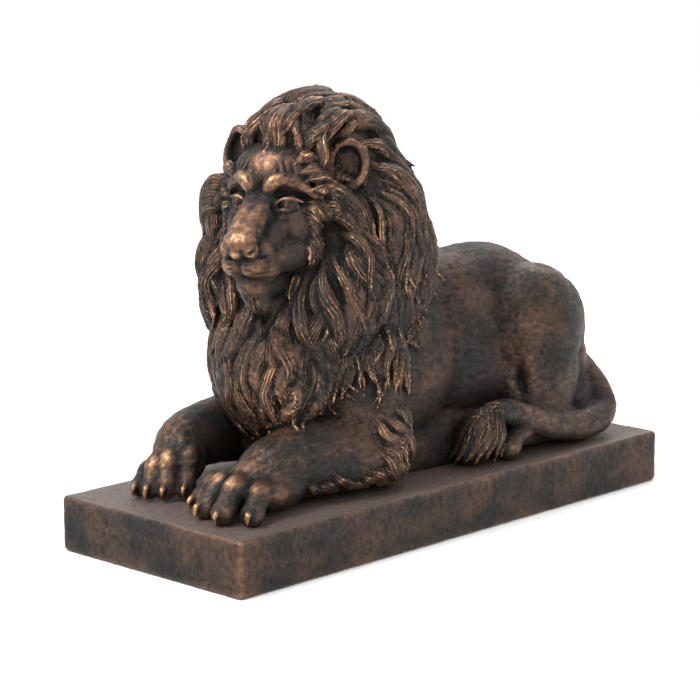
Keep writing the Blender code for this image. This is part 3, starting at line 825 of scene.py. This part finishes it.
def mane(forms, tree, skin):
    rng = random.Random(7)
    for spacing, width, height, lift, reach in LOCK_LAYERS:
        wanted = has_strand if width < THIN_LOCK else has_mane
        for root in scatter(skin, wanted, spacing, rng):
            hang = root.z - hem_height(root)
            length = min(reach * rng.uniform(0.7, 1.35), 40 + hang * rng.uniform(0.85, 1.15))
            size = width * rng.uniform(0.6, 1.4)
            phase = 1.5 * noise.noise(root * 0.011) + rng.uniform(-0.06, 0.06)
            sway = rng.uniform(0.4, 0.7)
            curl = rng.uniform(0.2, 1.3) * (1 if noise.noise(root * 0.03) > 0 else -1)
            tip = rng.choice((-0.2, 0.1, 0.4, 0.9))
            up = lift * rng.uniform(0.4, 1.35)
            path, normals = comb(tree, root, length, mane_flow, up, sway, phase, curl, tip=tip)
            forms.lock(path, normals, size, size * height, strands=rng.choice((3, 4, 5)))


CROWN_CENTRE = Vector((4, 5, -30))


def crest(forms):
    """The locks that rise from the forehead and sweep back over the crown, in the head's frame."""
    rng = random.Random(21)
    forms.ball((6, -22, 18), (31, 24, 23))
    for row, lift in ((0, 0), (1, 4), (2, 1)):
        for k in range(11):
            x = -23 + 5.9 * k + rng.uniform(-4, 4)
            low = -0.007 * x * x
            back = 14 * row + rng.uniform(-3, 3)
            rise = lift + rng.uniform(-6, 6)
            bend = rng.uniform(-8, 8)
            start = rng.uniform(-8, 5)
            sweep = rng.uniform(0.75, 1.05)
            path = curve_through(
                [
                    (x * 0.95, -50 + 0.45 * abs(x) + back, -2 + start + 1.3 * low),
                    (x * 1.05 + bend, -48 + 0.35 * abs(x) + back, 17 + 1.2 * low + 0.6 * rise),
                    (x * 1.08 + 4 - 0.4 * bend, -42 + 0.3 * abs(x) + back, 34 + low + rise),
                    (x * 1.05 + 9 * sweep - bend, -42 + 34 * sweep + back, 46 + low + 0.8 * rise),
                    (x * 1.0 + 16 * sweep, -42 + 66 * sweep + back, 49 + low - 4 * sweep),
                ],
                24,
            )
            path = [Vector(p) for p in path]
            normals = [(p - CROWN_CENTRE).normalized() for p in path]
            size = rng.uniform(4, 9)
            forms.lock(path, normals, size, 4 + 0.45 * size, strands=rng.choice((2, 3, 4)), root=0.1)


# How far a corner may lie off a lock's surface, as a share of the lock's radius, and past its width
LOOSEST_FIT = 0.55
LOCK_MARGIN = 4


def part_strands(mesh, locks, depth=0.9):
    """Parts every lock into strands that run along it, and notes how far across its lock a corner lies."""
    tree = KDTree(len(locks))
    for i, lock in enumerate(locks):
        tree.insert(lock[0], i)
    tree.balance()
    co = corners(mesh)
    no = normals_of(mesh)
    shift = np.zeros(len(co), np.float32)
    place = np.zeros(len(co), np.float32)
    hairy = np.zeros(len(co), np.float32)
    for v in range(len(co)):
        spot = Vector(co[v])
        best = LOOSEST_FIT
        for _, i, gap in tree.find_n(spot, 5):
            where, side, top, (width, height), strands, t = locks[i]
            if gap > width + LOCK_MARGIN:
                continue
            off = spot - where
            across = off.dot(side) / max(width, 1.5)
            misfit = abs(math.hypot(across, off.dot(top) / max(height, 1.5)) - 1) + 0.02 * gap
            if misfit < best:
                best = misfit
                uneven = noise.noise(spot * 0.06)
                ridge = 0.5 + 0.5 * math.cos(math.pi * strands * (across + 0.35 * uneven))
                strength = 0.65 + 1.1 * noise.noise(spot * 0.09 + side * 3)
                shift[v] = depth * max(strength, 0.1) * (1.4 * ridge**1.5 - 0.7) * ease(0, 0.12, t)
                place[v] = across * width
                hairy[v] = 1
    move_to(mesh, co + no * shift[:, None])
    store(mesh, "across", place)
    store(mesh, "hairy", hairy)


def roughen(mesh):
    """The marks of the modelling: shallow dents everywhere, and short fur where no lock lies."""
    co = corners(mesh)
    no = normals_of(mesh)
    hairy = np.empty(len(co), np.float32)
    mesh.attributes["hairy"].data.foreach_get("value", hairy)
    shift = np.zeros(len(co), np.float32)
    muzzle = HEAD @ FACE_CENTRE
    for v in range(len(co)):
        spot = Vector(co[v])
        calm = 1 - 0.6 * math.exp(-(((spot - muzzle).length / 75) ** 4))
        shift[v] = 0.45 * noise.noise(spot * 0.09) + 0.3 * noise.noise(spot * 0.25)
        if not hairy[v]:
            fur = Vector((spot.x * 0.26, spot.y * 0.08 + spot.z * 0.05, spot.z * 0.24))
            shift[v] += 0.55 * noise.noise(fur)
        shift[v] *= calm
    move_to(mesh, co + no * shift[:, None])


def smoothed(co, edges, times):
    """The points after a number of rounds of averaging with their neighbours."""
    count = np.bincount(edges.ravel(), minlength=len(co))[:, None]
    for _ in range(times):
        total = np.zeros_like(co)
        for k in range(3):
            total[:, k] = np.bincount(edges[:, 0], co[edges[:, 1], k], len(co))
            total[:, k] += np.bincount(edges[:, 1], co[edges[:, 0], k], len(co))
        co = 0.5 * co + 0.5 * total / count
    return co


def mark_relief(mesh, scale=1.0):
    """Stores how far each corner stands out of its surroundings, near by and farther off, in millimetres."""
    co = corners(mesh).astype(np.float64)
    no = normals_of(mesh)
    edges = np.empty(len(mesh.edges) * 2, np.int32)
    mesh.edges.foreach_get("vertices", edges)
    edges = edges.reshape(-1, 2)
    for name, times in (("ridge", 5), ("swell", 40)):
        store(mesh, name, ((co - smoothed(co, edges, times)) * no).sum(axis=1) * scale)


# Where hands and cloth have rubbed the finish bright: place in the head's frame, radius and strength
RUBBED_FACE = [
    ((0, -112, -60), 17, 0.9),
    ((0, -92, -46), 17, 0.75),
    ((13, -70, -14), 12, 0.6),
    ((-11, -70, -12), 12, 0.6),
    ((2, -66, 0), 21, 0.6),
    ((24, -67, -36), 6, 0.45),
    ((-24, -67, -36), 6, 0.45),
    ((0, -104, -88), 22, 0.2),
    ((0, -84, -118), 14, 0.15),
]
RUBBED_BODY = [
    ((16, -236, 28), 9, 0.6),
    ((36, -246, 34), 9, 0.8),
    ((58, -250, 34), 9, 0.8),
    ((78, -240, 30), 9, 0.6),
    ((-46, -242, 34), 13, 0.8),
    ((-60, -210, 62), 24, 0.45),
    ((50, -222, 38), 32, 0.38),
    ((48, -180, 66), 46, 0.42),
    ((60, 190, 180), 34, 0.3),
    ((90, 210, 30), 20, 0.3),
    ((90, 110, 62), 24, 0.4),
]


# Painted shade: the hollows of the ears stay dark, kept free of copper and shine
EAR_SHADE = 1.6
EAR_SHADE_RADIUS = 12


def mark_rubbed_and_ear_shade(mesh):
    co = corners(mesh)
    total = np.zeros(len(co), np.float32)
    places = [(HEAD @ Vector(p), r, k) for p, r, k in RUBBED_FACE]
    places += [(Vector(p), r, k) for p, r, k in RUBBED_BODY]
    for place, radius, strength in places:
        gap = ((co - np.array(place)) ** 2).sum(axis=1)
        total = np.maximum(total, strength * np.exp(-gap / radius**2))
    # Painted shade in the ear hollows: the rubbed share is pulled below zero there
    for place in EAR_PLACES.values():
        gap = ((co - np.array(HEAD @ (place + Vector((0, 6, 0))))) ** 2).sum(axis=1)
        total -= EAR_SHADE * np.exp(-gap / EAR_SHADE_RADIUS**2)
    store(mesh, "rubbed", total)


def lion_mesh():
    middle = Forms()
    middle.add(coarse_skin())
    left_paw(middle)
    right_paw(middle)
    hind_foot(middle, 1)
    hind_foot(middle, -1)
    head = Forms(HEAD)
    face(head)
    middle.add(head.to_mesh())
    mesh = fuse(middle.to_mesh(), MIDDLE_VOXEL, MIDDLE_PASSES)
    socket_strokes(mesh)
    body_strokes(mesh)
    tree = tree_of(mesh)
    forms = Forms()
    forms.add(mesh)
    mane(forms, tree, mesh)
    cheek_fur(forms, tree)
    temple_hair(forms, tree)
    arm_fringe(forms, tree)
    tail_tuft(forms)
    claws(forms)
    head = Forms(HEAD)
    lids(head)
    ear(head, 1)
    ear(head, -1)
    crest(head)
    forms.add(head.to_mesh())
    forms.locks += head.locks
    mesh = fuse(forms.to_mesh(), FINE_VOXEL, FINE_PASSES)
    part_strands(mesh, forms.locks)
    roughen(mesh)
    face_strokes(mesh)
    return mesh


def trim_below(mesh, z):
    """Cuts off what lies below a height and closes the cut."""
    bm = bmesh.new()
    bm.from_mesh(mesh)
    geom = bm.verts[:] + bm.edges[:] + bm.faces[:]
    cut = bmesh.ops.bisect_plane(bm, geom=geom, plane_co=(0, 0, z), plane_no=(0, 0, 1), clear_inner=True)
    edges = [e for e in cut["geom_cut"] if isinstance(e, bmesh.types.BMEdge)]
    bmesh.ops.triangle_fill(bm, use_beauty=True, use_dissolve=False, edges=edges, normal=(0, 0, -1))
    bm.to_mesh(mesh)
    bm.free()
    mesh.update()


# Materials
def nodes_of(name, roughness, metallic):
    mat = bpy.data.materials.new(name)
    mat.use_nodes = True
    tree = mat.node_tree
    shader = tree.nodes["Principled BSDF"]
    shader.inputs["Roughness"].default_value = roughness
    shader.inputs["Metallic"].default_value = metallic
    return mat, tree, shader


def bronzed(name, colours, weights, streaks, fine=900, grain=0.3):
    """Dark patina in the hollows, brown on the flats and rubbed copper on what stands out, with painted
    light from above on upward faces where a layer marks them.
    """
    deep, dark, mid, copper, gold = colours
    by_swell, by_ridge, by_specks, by_streaks, by_strands = weights
    mat, tree, shader = nodes_of(name, 0.42, 0.25)
    links = tree.links

    def node(kind, **values):
        made = tree.nodes.new(kind)
        for key, value in values.items():
            setattr(made, key, value)
        return made

    def maths(operation, a, b=0.0):
        made = node("ShaderNodeMath", operation=operation)
        for socket, value in zip(made.inputs, (a, b)):
            if isinstance(value, (int, float)):
                socket.default_value = value
            else:
                links.new(value, socket)
        return made.outputs[0]

    def noise_at(scale, detail, roughness=0.6, stretch=None):
        made = node("ShaderNodeTexNoise")
        made.inputs["Scale"].default_value = scale
        made.inputs["Detail"].default_value = detail
        made.inputs["Roughness"].default_value = roughness
        source = coord.outputs["Object"]
        if stretch:
            mapping = node("ShaderNodeMapping")
            mapping.inputs["Scale"].default_value = stretch
            links.new(source, mapping.inputs["Vector"])
            source = mapping.outputs[0]
        links.new(source, made.inputs["Vector"])
        return made.outputs[0]

    def span(value, low, high, first=0.0, last=1.0):
        made = node("ShaderNodeMapRange", interpolation_type="SMOOTHSTEP")
        links.new(value, made.inputs["Value"])
        for socket, amount in zip(made.inputs[1:5], (low, high, first, last)):
            socket.default_value = amount
        return made.outputs[0]

    def mix(factor, a, b):
        made = node("ShaderNodeMix", data_type="RGBA")
        links.new(factor, made.inputs["Factor"])
        for socket, value in ((made.inputs[6], a), (made.inputs[7], b)):
            if isinstance(value, tuple):
                socket.default_value = (*value, 1)
            else:
                links.new(value, socket)
        return made.outputs[2]

    def layer(which):
        return node("ShaderNodeAttribute", attribute_name=which).outputs["Fac"]

    coord = node("ShaderNodeTexCoord")
    hairy = layer("hairy")
    wobble = maths("MULTIPLY", noise_at(120, 3), 4.0)
    strands = maths("SINE", maths("ADD", maths("MULTIPLY", layer("across"), 2.6), wobble))
    strands = maths("POWER", maths("ADD", maths("MULTIPLY", strands, 0.5), 0.5), 3.0)
    strands = maths("MULTIPLY", maths("SUBTRACT", strands, 0.3), hairy)
    specks = maths("SUBTRACT", noise_at(260, 6, 0.75), 0.5)
    grains = noise_at(fine, 4, 0.7)
    patches = noise_at(18, 4)
    fur = maths("SUBTRACT", noise_at(streaks[0], 4, 0.65, streaks[1]), 0.5)
    fur = maths("MULTIPLY", fur, maths("SUBTRACT", 1.0, hairy))
    stand = maths("MULTIPLY", layer("swell"), by_swell)
    for value, weight in (
        (layer("ridge"), by_ridge),
        (specks, by_specks),
        (fur, by_streaks),
        (strands, by_strands),
    ):
        stand = maths("ADD", stand, maths("MULTIPLY", value, weight))
    # The rubbed layer also carries the painted shade of the ear hollows
    wear = maths("ADD", stand, maths("MULTIPLY", layer("rubbed"), 1.15))
    wear = maths("ADD", wear, maths("MULTIPLY", maths("SUBTRACT", patches, 0.5), 0.9))
    base = mix(span(patches, 0.38, 0.66), dark, mid)
    base = mix(span(stand, -0.7, 0.25), deep, base)
    base = mix(span(wear, 0.3, 1.0, 0, 0.85), base, copper)
    base = mix(span(wear, 0.8, 1.7), base, gold)
    base = mix(span(grains, 0.6, 0.8, 0, 0.5), base, deep)
    # Painted light: where the layer marks upward faces, the colour is lifted towards a pale tone that stands
    # in for light falling on the top
    base = mix(maths("MULTIPLY", layer("painted_top_light"), span(grains, 0.35, 0.6, 0.35, 1.0)), base, TOP_LIGHT_COLOUR)
    links.new(base, shader.inputs["Base Color"])
    links.new(span(wear, -0.3, 1.2, 0.55, 0.33), shader.inputs["Roughness"])
    links.new(span(wear, -0.3, 1.2, 0.3, 0.8), shader.inputs["Metallic"])
    links.new(span(wear, -0.2, 0.8, 0.16, 0.5), shader.inputs["Specular IOR Level"])
    height = maths("ADD", maths("MULTIPLY", specks, 0.9), maths("MULTIPLY", grains, 0.25))
    height = maths("ADD", height, maths("MULTIPLY", strands, 0.45))
    height = maths("ADD", height, maths("MULTIPLY", fur, 1.0))
    bump = node("ShaderNodeBump")
    bump.inputs["Strength"].default_value = grain
    bump.inputs["Distance"].default_value = 0.002
    links.new(height, bump.inputs["Height"])
    links.new(bump.outputs[0], shader.inputs["Normal"])
    return mat


def show(name, mesh, mat, node):
    obj = placed(name, mesh)
    mesh.materials.clear()
    mesh.materials.append(mat)
    mesh.shade_smooth()
    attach(obj, "root")
    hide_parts(node)


DEEP = (0.006, 0.006, 0.006)
DARK = (0.024, 0.0215, 0.02)
BROWN = (0.072, 0.041, 0.028)
COPPER = (0.21, 0.1, 0.058)
GOLD = (0.6, 0.38, 0.2)
# A pale tone painted on upward faces, standing in for the light from above on the plinth's top
TOP_LIGHT_COLOUR = (0.17, 0.13, 0.115)
LION_COLOURS = (DEEP, DARK, BROWN, COPPER, GOLD)
PLINTH_COLOURS = (DEEP, DARK, BROWN, COPPER, COPPER)
# How much the finish follows the broad relief, the fine relief, specks, streaks and strands
LION_WEIGHTS = (0.42, 0.9, 1.8, 1.1, 0.6)
PLINTH_WEIGHTS = (0.1, 1.3, 1.7, 0.7, 0)
# Streaks in the finish: scale of the noise and its stretch along X, Y and Z
FUR_STREAKS = (260, (1, 0.3, 0.5))
PLINTH_STREAKS = (300, (1, 1, 0.35))


# The lion's foot sinks this far into the plinth, in grid units
SUNK = 1.0
# The visual crown stays this far under the solid's, and only the forms this far below it are lowered
CROWN_GAP = 0.0003
CROWN_DEPTH = 0.12


def keep_under(mesh, top):
    """Lowers the crown, and what lies near it, so that nothing rises over the solid."""
    co = corners(mesh)
    over = max(0.0, float(co[:, 2].max()) - top + CROWN_GAP)
    lower = top - CROWN_DEPTH
    share = np.clip((co[:, 2] - lower) / (top - lower), 0, 1)
    co[:, 2] -= over * share
    move_to(mesh, co)


def make_lion():
    mesh = lion_mesh()
    mark_relief(mesh)
    mesh = modified(mesh, ("DECIMATE", {"ratio": min(1, LION_TRIANGLES / (2 * len(mesh.polygons)))}))
    bm = bmesh.new()
    bm.from_mesh(mesh)
    bm.from_mesh(eyeballs())
    bm.to_mesh(mesh)
    bm.free()
    trim_below(mesh, -SUNK)
    mark_rubbed_and_ear_shade(mesh)
    mesh.transform(Matrix.Translation((0, GRID_ORIGIN_Y, PLINTH_HEIGHT)) @ Matrix.Scale(UNIT, 4))
    keep_under(mesh, cad_box[1][2])
    show("lion_skin", mesh, bronzed("bronzed resin", LION_COLOURS, LION_WEIGHTS, FUR_STREAKS), "lion")


# The plinth: its skin starts this far inside the solid, with rounded arrises, and is made uneven
PLINTH_INSET = 0.0006
PLINTH_ROUNDING = 0.0035
PLINTH_SWELL = 0.0002
PLINTH_VOXEL = 0.0018
PLINTH_TRIANGLES = 90000


def make_plinth():
    """The slab: rounded, slightly uneven arrises and faces that were never trued."""
    bm = bmesh.new()
    width = PLINTH_WIDTH - 2 * PLINTH_INSET
    length = PLINTH_LENGTH - 2 * PLINTH_INSET
    size = Matrix.Diagonal((width, length, PLINTH_HEIGHT - PLINTH_INSET, 1))
    bmesh.ops.create_cube(bm, size=1, matrix=Matrix.Translation((0, 0, PLINTH_HEIGHT / 2)) @ size)
    bmesh.ops.bevel(bm, geom=bm.edges[:], offset=PLINTH_ROUNDING, segments=3, affect="EDGES", profile=0.5)
    mesh = fuse(mesh_from(bm, "plinth_skin"), PLINTH_VOXEL, 1)
    co = corners(mesh)
    no = normals_of(mesh)
    for i in range(len(co)):
        spot = Vector(co[i])
        uneven = 0.0006 * noise.noise(spot * 60) + 0.0004 * noise.noise(spot * 170)
        co[i] += no[i] * min(uneven, PLINTH_SWELL)
    co[:, 0] = np.clip(co[:, 0], -PLINTH_WIDTH / 2, PLINTH_WIDTH / 2)
    co[:, 1] = np.clip(co[:, 1], -PLINTH_LENGTH / 2, PLINTH_LENGTH / 2)
    co[:, 2] = np.clip(co[:, 2], 0, PLINTH_HEIGHT)
    move_to(mesh, co)
    mark_relief(mesh, 1000)
    mesh = modified(mesh, ("DECIMATE", {"ratio": min(1, PLINTH_TRIANGLES / (2 * len(mesh.polygons)))}))
    # Painted light: upward-facing skin is marked for the pale tone, so the plinth's top looks lit from above
    store(mesh, "painted_top_light", np.clip(normals_of(mesh)[:, 2] * 3 - 2, 0, 1))
    finish = bronzed("dark bronzed resin", PLINTH_COLOURS, PLINTH_WEIGHTS, PLINTH_STREAKS, 500, 0.45)
    show("plinth_skin", mesh, finish, "plinth")


# The stage: a white floor and soft light from above
FLOOR_SIZE = 30
FLOOR_WHITE = 0.92
WORLD_LIGHT = 1.08
# Each lamp with its azimuth and elevation in degrees, its distance and size in metres, and its power
LAMPS = [("key", -8, 55, 2.2, 1.0, 42), ("fill", 95, 30, 2.4, 1.6, 4), ("rim", 200, 48, 2.4, 1.4, 18)]
# What the lamps and the camera are turned about
MIDDLE = Vector((0, 0, 0.2))


def make_stage():
    bm = bmesh.new()
    bmesh.ops.create_grid(bm, x_segments=1, y_segments=1, size=FLOOR_SIZE)
    floor = placed("floor", mesh_from(bm, "floor"))
    mat, _, shader = nodes_of("white floor", 0.9, 0)
    shader.inputs["Base Color"].default_value = (FLOOR_WHITE, FLOOR_WHITE, FLOOR_WHITE, 1)
    floor.data.materials.append(mat)
    world = bpy.data.worlds.new("studio")
    bpy.context.scene.world = world
    world.use_nodes = True
    background = world.node_tree.nodes["Background"]
    background.inputs[0].default_value = (1, 1, 1, 1)
    background.inputs[1].default_value = WORLD_LIGHT


def towards(azimuth, elevation):
    """The direction from the object to what stands at that azimuth and elevation."""
    a = math.radians(azimuth)
    e = math.radians(elevation)
    return Vector((math.sin(a) * math.cos(e), -math.cos(a) * math.cos(e), math.sin(e)))


def make_lamp(name, azimuth, elevation, distance, size, power):
    light = bpy.data.lights.new(name, "AREA")
    light.size = size
    light.energy = power
    lamp = placed(name, light)
    way = towards(azimuth, elevation)
    lamp.location = MIDDLE + way * distance
    lamp.rotation_euler = way.to_track_quat("Z", "Y").to_euler()


# The camera that matches the photograph
VIEW_AZIMUTH = 43.55
VIEW_ELEVATION = 11.08
VIEW_DISTANCE = 2.416
VIEW_RIGHT = -0.0249
VIEW_UP = -0.0354
LENS = 128.0
SENSOR_WIDTH = 36


def make_camera():
    back = towards(VIEW_AZIMUTH, VIEW_ELEVATION)
    a = math.radians(VIEW_AZIMUTH)
    right = Vector((math.cos(a), math.sin(a), 0))
    up = back.cross(right)
    data = bpy.data.cameras.new("camera")
    data.sensor_width = SENSOR_WIDTH
    data.lens = LENS
    camera = placed("camera", data)
    place = Matrix((right, up, back)).transposed().to_4x4()
    place.translation = MIDDLE + back * VIEW_DISTANCE + right * VIEW_RIGHT + up * VIEW_UP
    camera.matrix_world = place
    bpy.context.scene.camera = camera


make_lion()
make_plinth()
make_stage()
bpy.context.scene.view_settings.view_transform = "Standard"
for lamp in LAMPS:
    make_lamp(*lamp)
make_camera()
